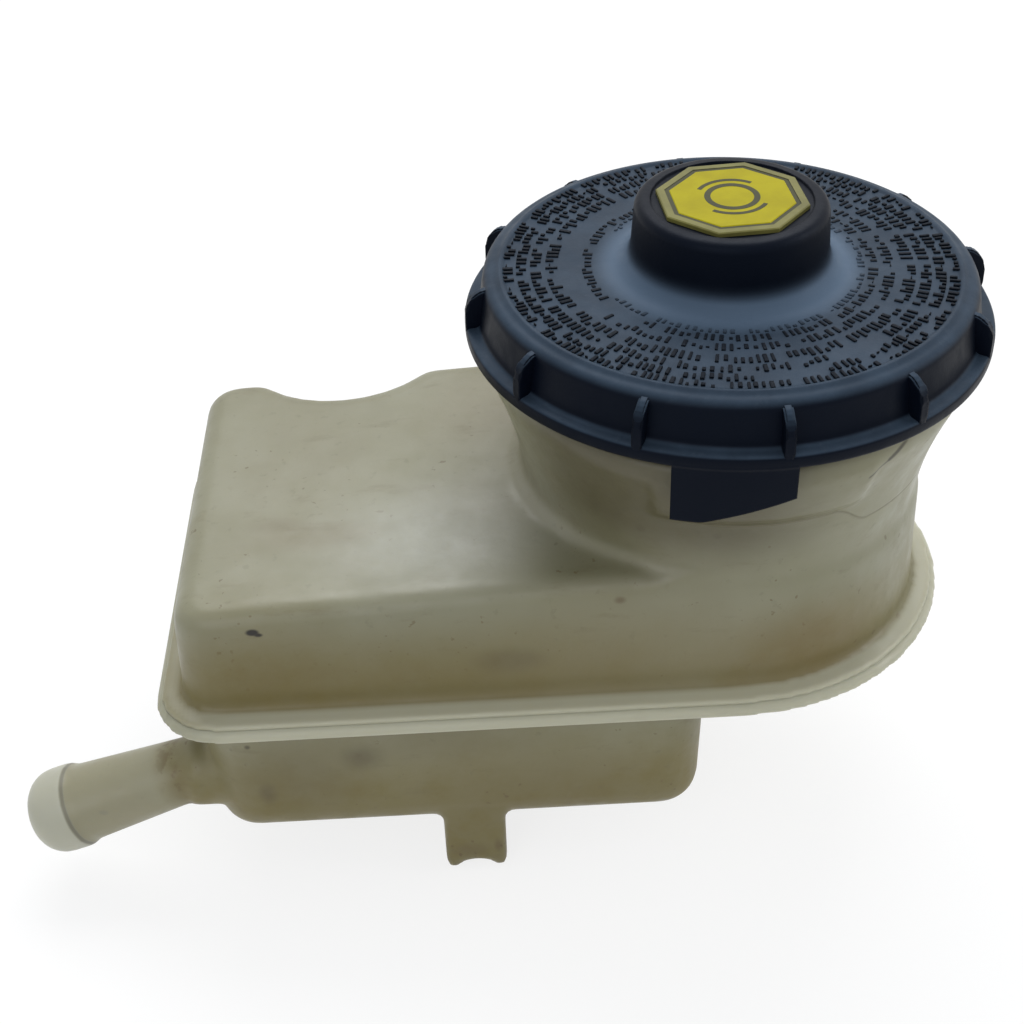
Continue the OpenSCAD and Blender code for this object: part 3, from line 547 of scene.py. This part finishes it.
def cap_profile():
    """Section of the cap, first its inside from the axis outwards, then its outside back to the axis."""
    c = CAP
    disc, under, boss_top = c["disc_z"], c["disc_z"] - c["disc_t"], c["boss_h"]
    boss_wall = 2.4
    rib_in, rib_out, rib_h = 17.8, 19.2, 1.3
    inner = [(0.0, boss_top - boss_wall), (c["boss_r"] - boss_wall, boss_top - boss_wall),
             (c["boss_r"] - boss_wall, disc - 0.9),
             (rib_in, under), (rib_in, under - rib_h), (rib_out, under - rib_h), (rib_out, under),
             (c["bore_r"], under), (c["bore_r"], 0.3)]

    low_round, top_round, groove, shoulder, bead, boss_round = 0.5, 0.45, 0.7, 1.45, 0.42, 1.25
    flat_r, seat_r, seat_depth = 21.0, 9.8, 0.4
    outer = [(c["bore_r"] + 0.3, 0.0)]
    outer += arc(c["ring_r"] - low_round, low_round, low_round, -90, 0, 4)
    outer += arc(c["ring_r"] - top_round, c["ring_h"] - top_round, top_round, 0, 80, 4)
    outer += [(c["wall_r"] + 0.75, c["ring_h"] + 0.04)]
    outer += arc(c["wall_r"] + groove, c["ring_h"] + 0.75, groove, 270, 182, 5)
    outer += arc(c["wall_r"] - 2.0, disc - 1.65, shoulder, 4, 84, 8)
    outer += [(c["rim_r"] + 0.5, disc - 0.08)]
    outer += arc(c["rim_r"], disc - 0.18, bead, 60, 120, 4)
    outer += [(c["rim_r"] - 0.6, disc - 0.06), (flat_r, disc + 0.02)]
    outer += arc(c["boss_r"] + 0.25 + c["fillet_r"], disc + 0.1 + c["fillet_r"], c["fillet_r"], 268, 183, 9)
    outer += arc(c["boss_r"] - 1.3, boss_top - 1.3, boss_round, 2, 88, 7)
    outer += [(seat_r + 0.1, boss_top - 0.02), (seat_r, boss_top - 0.35), (0.0, boss_top - seat_depth)]
    return inner + outer


def tab_low(angle):
    """Height of the tab's lower edge: level, then sloping up to one side."""
    deep, slope_from, rise, run = -7.4, -7.2, 3.6, 11.8
    across = CAP["ring_r"] * math.sin(math.radians(angle))
    return max(deep, deep + (across - slope_from) * rise / run)


def make_cap(materials):
    """Lathed cap with the tab that hangs from its ring."""
    work = bmesh.new()
    lathe(work, cap_profile(), segments=256, centre=(NECK_X, 0, CAP_Z))
    outer_r, inner_r = CAP["ring_r"] - 0.05, CAP["ring_r"] - 1.75
    first_angle, span, steps, top = -18.8, 25.0, 26, 0.5
    sections = []
    for i in range(steps + 1):
        angle = first_angle + span * i / steps
        a = math.radians(angle - 90)
        low = tab_low(angle)
        sections.append([work.verts.new((NECK_X + r * math.cos(a), r * math.sin(a), CAP_Z + z))
                         for r, z in ((outer_r, top), (outer_r, low), (inner_r, low), (inner_r, top))])
    sweep(work, sections)
    piece = finish_mesh(work, "screw_cap", materials)
    smooth_shade(piece, degrees=32)
    return piece


# Outer edge of a fin: mm in from the ring's edge and mm down from the disc.
FIN_EDGE = (
    (0.0, 5.5), (0.03, 3.7), (0.14, 3.0), (0.4, 2.4), (0.75, 1.85), (1.15, 1.4), (1.65, 1.02),
    (2.25, 0.75), (3.0, 0.75),
)


def fin_outline():
    c = CAP
    foot, root_r = 0.6, c["wall_r"] - 1.6
    edge = [(c["ring_r"] - inward, c["disc_z"] - down) for inward, down in FIN_EDGE]
    return [(root_r, foot), (c["ring_r"] - 0.02, foot)] + edge + [(root_r, c["disc_z"] - 1.2)]


def make_fins(materials):
    """One grip fin, repeated round the cap by a node tree."""
    work = bmesh.new()
    half = CAP["fin_t"] / 2
    prism(work, fin_outline(), lambda side, p: (p[0], side * half, p[1]))
    bmesh.ops.bevel(work, geom=list(work.edges), offset=0.22, segments=2, affect="EDGES",
                    clamp_overlap=True)
    fin = finish_mesh(work, "grip_fin", materials)
    smooth_shade(fin, degrees=40)
    ring = new_object("grip_fins", bpy.data.meshes.new("grip_fins"), materials)
    tree = bpy.data.node_groups.new("fins_round_cap", "GeometryNodeTree")
    tree.interface.new_socket("Geometry", in_out="OUTPUT", socket_type="NodeSocketGeometry")
    count = tree.interface.new_socket("Fins", in_out="INPUT", socket_type="NodeSocketInt")
    first = tree.interface.new_socket("First turn", in_out="INPUT", socket_type="NodeSocketFloat")
    source, sink = tree.nodes.new("NodeGroupInput"), tree.nodes.new("NodeGroupOutput")
    fins = source.outputs["Fins"]
    line = add(tree, "GeometryNodeMeshLine", links={"Count": fins})
    line.inputs["Offset"].default_value = (0, 0, 0)
    index = tree.nodes.new("GeometryNodeInputIndex")
    step = add(tree, "ShaderNodeMath", {"operation": "DIVIDE"}, {0: index.outputs[0], 1: fins})
    turn = add(tree, "ShaderNodeMath", {"operation": "MULTIPLY_ADD"},
               {0: step.outputs[0], 2: source.outputs["First turn"]})
    turn.inputs[1].default_value = 2 * math.pi
    euler = add(tree, "ShaderNodeCombineXYZ", links={"Z": turn.outputs[0]})
    shape = add(tree, "GeometryNodeObjectInfo")
    shape.inputs["Object"].default_value = fin
    copies = add(tree, "GeometryNodeInstanceOnPoints", links={
        "Points": line.outputs[0], "Instance": shape.outputs["Geometry"], "Rotation": euler.outputs[0]})
    real = add(tree, "GeometryNodeRealizeInstances", links={0: copies.outputs[0]})
    move = add(tree, "GeometryNodeTransform", links={"Geometry": real.outputs[0]})
    move.inputs["Translation"].default_value = (NECK_X * MM, 0, CAP_Z * MM)
    paint = add(tree, "GeometryNodeSetMaterial", links={"Geometry": move.outputs[0]})
    paint.inputs["Material"].default_value = materials[0]
    tree.links.new(paint.outputs[0], sink.inputs[0])
    modifier = ring.modifiers.new("fins", "NODES")
    modifier.node_group = tree
    modifier[count.identifier] = CAP["fins"]
    modifier[first.identifier] = math.radians(CAP["fin_turn"] - 90)
    bake_modifiers(ring)
    bpy.data.objects.remove(fin)
    return ring


# Inner and outer radius of each row in mm, then the angles between which it is bare.
MARK_ROWS = (
    (26.75, 28.0, 0, 0), (25.1, 26.35, 268, 286), (23.3, 24.6, 290, 310), (21.2, 22.7, 60, 110),
    (18.9, 20.2, 96, 215), (17.0, 18.2, 210, 228), (15.75, 16.6, 150, 205),
)
# Bars in mm: widths, gaps, and the gap after a group.
BAR_WIDTHS = (0.34, 0.42, 0.5)
BAR_GAPS = (0.42, 0.5, 0.62)
GROUP_GAP = 1.7
GROUP_SIZES = (5, 8, 11, 14)
BAR_SEED = 7


def make_bands(materials):
    """Rows of short plain raised bars round the disc of the cap."""
    rng = random.Random(BAR_SEED)
    work = bmesh.new()
    half_rise = 0.14
    middle_z = CAP_Z + CAP["disc_z"] - 0.1 + half_rise
    full_turn = 358.6
    for low, high, bare_from, bare_to in MARK_ROWS:
        angle, left = 0.0, 6
        while angle < full_turn:
            width = rng.choice(BAR_WIDTHS) / high
            if not bare_from < angle < bare_to:
                a = math.radians(angle)
                inner = low + rng.choice((0, 0, 0, 0.35, 0.6)) * (high - low)
                outer = high - rng.choice((0, 0, 0, 0.3)) * (high - low)
                outline = [(inner, -width * inner / 2), (outer, -width * outer / 2),
                           (outer, width * outer / 2), (inner, width * inner / 2)]
                prism(work, outline, lambda side, p, a=a: (
                    NECK_X + p[0] * math.cos(a) - p[1] * math.sin(a),
                    p[0] * math.sin(a) + p[1] * math.cos(a),
                    middle_z + side * half_rise))
            left -= 1
            step = rng.choice(BAR_GAPS)
            if left == 0:
                left, step = rng.choice(GROUP_SIZES), GROUP_GAP
            angle += math.degrees(width) + math.degrees(step / high)
    return finish_mesh(work, "cap_bars", materials)


YELLOW, BORDER, LINE = range(3)
# Height of the badge's underside over the cap's lower edge, and of its face over that, in mm.
BADGE_Z = 16.3
BADGE_T = 0.62
# Radius of the corners, height over the underside, and the finish of the face that ends there.
BADGE_RINGS = (
    (9.4, 0.0, None), (9.4, 0.5, BORDER), (9.25, BADGE_T, BORDER), (8.35, BADGE_T, BORDER),
    (8.3, 0.54, LINE), (7.75, 0.54, LINE), (7.65, BADGE_T, YELLOW),
)
# Radius, width, first and last angle and steps of the ring and of the two arcs.
BADGE_BANDS = ((3.0, 0.75, 0, 360, 64), (4.3, 0.55, 50, 150, 24), (4.3, 0.55, 230, 330, 24))


def make_badge(materials):
    """Eight-sided badge: pale border, groove line, ring and two arcs."""
    work = bmesh.new()
    turn = math.radians(27 - 90)
    base = CAP_Z + BADGE_Z

    def point(radius, angle, z):
        return work.verts.new((NECK_X + radius * math.cos(angle), radius * math.sin(angle), z))

    loops = [[point(r, turn + k * math.pi / 4, base + z) for k in range(8)] for r, z, _ in BADGE_RINGS]
    for low, high, entry in zip(loops, loops[1:], BADGE_RINGS[1:]):
        for k in range(8):
            j = (k + 1) % 8
            work.faces.new((low[k], low[j], high[j], high[k])).material_index = entry[2]
    work.faces.new(loops[-1]).material_index = YELLOW
    work.faces.new(list(reversed(loops[0]))).material_index = BORDER

    top = base + BADGE_T + 0.02
    sunk = top - 0.1
    for radius, width, start, end, steps in BADGE_BANDS:
        sections = []
        for i in range(steps + 1):
            a = math.radians(start + (end - start) * i / steps)
            sections.append([point(radius + side * width / 2, a, z)
                             for side, z in ((-1, sunk), (-1, top), (1, top), (1, sunk))])
        sweep(work, sections, ends=end - start < 360, material_index=LINE)
    bmesh.ops.remove_doubles(work, verts=work.verts, dist=0.001)
    return finish_mesh(work, "badge_plate", materials)


# Camera, floor and light

CAMERA_PLACE = (-13.62, -180.49, 174.24)
CAMERA_AZIMUTH = -1.1459
CAMERA_ELEVATION = 38.079
CAMERA_ROLL = -2.2403
FOCAL_PIXELS = 1669.05
FRAME_PIXELS = 1024
SENSOR_MM = 36.0


def make_camera():
    """Camera of the photograph."""
    azimuth, elevation, roll = (math.radians(a) for a in (CAMERA_AZIMUTH, CAMERA_ELEVATION, CAMERA_ROLL))
    back = Vector((math.sin(azimuth) * math.cos(elevation), -math.cos(azimuth) * math.cos(elevation),
                   math.sin(elevation)))
    level = (-back).cross(Vector((0, 0, 1))).normalized()
    upright = level.cross(-back)
    right = math.cos(roll) * level + math.sin(roll) * upright
    up = math.cos(roll) * upright - math.sin(roll) * level
    lens = bpy.data.cameras.new("photo_camera")
    lens.sensor_width = SENSOR_MM
    lens.lens = SENSOR_MM * FOCAL_PIXELS / FRAME_PIXELS
    lens.clip_start = 0.01
    holder = bpy.data.objects.new("photo_camera", lens)
    bpy.context.scene.collection.objects.link(holder)
    place = Matrix((right, up, back)).transposed().to_4x4()
    place.translation = Vector(CAMERA_PLACE) * MM
    holder.matrix_world = place
    bpy.context.scene.camera = holder


# Name, place in metres, size in metres and watts.
LAMPS = (
    ("top_box", (0.05, 0.45, 0.75), (0.7, 0.5), 5.5),
    ("right_box", (0.8, -0.05, 0.45), (0.4, 0.5), 2.0),
    ("front_fill", (-0.3, -0.7, 0.5), (0.6, 0.6), 1.8),
)
LAMP_TARGET = (0, 0, 0.03)
FLOOR_HALF = 3.0
# Share of plain white in what the camera sees of the floor. The rest takes the object's shadow.
FLOOR_GLOW = 0.8
# Strength of the sky's light at the horizon and overhead.
SKY_LOW = 0.16
SKY_HIGH = 0.75


def lamp(name, place, size, energy):
    light = bpy.data.lights.new(name, "AREA")
    light.shape = "RECTANGLE"
    light.size, light.size_y = size
    light.energy = energy
    light.color = colour("#ffffff")[:3]
    holder = bpy.data.objects.new(name, light)
    bpy.context.scene.collection.objects.link(holder)
    holder.location = place
    direction = Vector(LAMP_TARGET) - Vector(place)
    holder.rotation_euler = direction.to_track_quat("-Z", "Y").to_euler()


def seen_directly(tree):
    """1 for rays from the camera, from gloss and through glass, 0 for rays that carry light."""
    sight = tree.nodes.new("ShaderNodeLightPath")
    seen = maths(tree, "MAXIMUM", sight.outputs["Is Camera Ray"], sight.outputs["Is Glossy Ray"])
    return maths(tree, "MAXIMUM", seen, sight.outputs["Is Transmission Ray"])


def make_floor():
    sides = ((-1, -1), (1, -1), (1, 1), (-1, 1))
    corners = [(x * FLOOR_HALF, y * FLOOR_HALF, FLOOR_Z * MM) for x, y in sides]
    mesh = bpy.data.meshes.new("floor")
    mesh.from_pydata(corners, [], [(0, 1, 2, 3)])
    material, tree, shader, _ = new_material("pale_floor")
    shader.inputs["Base Color"].default_value = colour("#fbfbfa")
    shader.inputs["Roughness"].default_value = 0.9
    white = add(tree, "ShaderNodeEmission")
    white.inputs["Color"].default_value = colour("#ffffff")
    blend = add(tree, "ShaderNodeMixShader", links={
        0: times(tree, seen_directly(tree), FLOOR_GLOW), 1: shader.outputs[0], 2: white.outputs[0]})
    tree.links.new(blend.outputs[0], tree.nodes["Material Output"].inputs["Surface"])
    new_object("floor", mesh, [material])


def make_sky():
    """Soft light from above, seen as a plain white backdrop."""
    world = bpy.data.worlds.new("studio")
    bpy.context.scene.world = world
    world.use_nodes = True
    tree = world.node_tree
    background = tree.nodes["Background"]
    around = tree.nodes.new("ShaderNodeTexCoord")
    split = add(tree, "ShaderNodeSeparateXYZ", links={0: around.outputs["Generated"]})
    glow = ramp(tree, split.outputs["Z"], -0.05, 0.9, SKY_LOW, SKY_HIGH)
    background.inputs["Color"].default_value = colour("#eef3fa")
    tree.links.new(glow, background.inputs["Strength"])
    backdrop = add(tree, "ShaderNodeBackground")
    backdrop.inputs["Color"].default_value = colour("#ffffff")
    blend = add(tree, "ShaderNodeMixShader", links={
        0: seen_directly(tree), 1: background.outputs[0], 2: backdrop.outputs[0]})
    tree.links.new(blend.outputs[0], tree.nodes["World Output"].inputs["Surface"])


make_camera()
make_floor()
make_sky()
for entry in LAMPS:
    lamp(*entry)

tank_upper_finish = aged_tank_plastic(
    "aged_polypropylene_upper", UPPER_MARKS, upper_details, brown_low=24, brown_high=39, brown_share=0.75,
    pale_low=22.9, pale_high=24.3)
tank_lower_finish = aged_tank_plastic(
    "aged_polypropylene_lower", LOWER_MARKS, lower_details, brown_low=5, brown_high=26, brown_share=1.0,
    pale_low=21.6, pale_high=23.5)
cap_finish = cap_plastic("black_nylon_cap", "#040812", "#34414f", sheen_and_dust_share=0.95,
                         roughness_low=0.4, roughness_high=0.52)
bar_finish = cap_plastic("black_nylon_bars", "#04070d", "#0e141c", sheen_and_dust_share=0.6,
                         roughness_low=0.5, roughness_high=0.62)
badge_finishes = [plain_plastic("badge_yellow", "#9f9506", "#948a05", 0.5, gloss=0.12),
                  plain_plastic("badge_border", "#6f6c38", "#605d30", 0.5, gloss=0.25),
                  plain_plastic("badge_line", "#3a3a20", "#32321c", 0.55, gloss=0.2)]

upper = moulded("upper_shell", "tank_upper", tank_upper_finish, voxel_mm=0.6, passes=4)
lower = moulded("lower_shell", "tank_lower", tank_lower_finish, voxel_mm=0.54, passes=5)
for piece in (upper, lower):
    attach(piece, "tank")

cap = make_cap([cap_finish])
fins = make_fins([cap_finish])
bars = make_bands([bar_finish])
badge = make_badge(badge_finishes)
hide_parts("filler_cap")
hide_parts("cap_badge")
for piece, slot in ((cap, "cap_plastic"), (fins, "cap_plastic"), (bars, "cap_plastic"), (badge, "badge")):
    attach(piece, "cap")

CAD_FINISHES = {
    "slip_ring": plain_plastic("acetal_slip_ring", "#8f9498", "#83888c", 0.45),
    "bellows_seal": plain_plastic("moulded_rubber_seal", "#1c1c1e", "#242426", 0.6),
    "strainer": plain_plastic("natural_nylon_strainer", "#dedbcb", "#cfcbb8", 0.5),
    "float": foam("closed_cell_foam_float"),
    "ring_magnet": metal("pressed_ferrite_magnet", "#4a4a4d", "#3c3c40", 0.55, metallic=0.6),
    "switch_housing": plain_plastic("black_switch_moulding", "#26292d", "#2e3136", 0.5),
    "reed_capsule": plain_plastic("reed_capsule_glass", "#9fb8ae", "#8fa89e", 0.2),
    "left_terminal": metal("tinned_brass_blade", "#c2a56a", "#a98c52", 0.35),
}
CAD_FINISHES["right_terminal"] = CAD_FINISHES["left_terminal"]
for node, finish in CAD_FINISHES.items():
    NODES[node].data.materials.clear()
    NODES[node].data.materials.append(finish)

bpy.context.scene.view_settings.view_transform = "Standard"
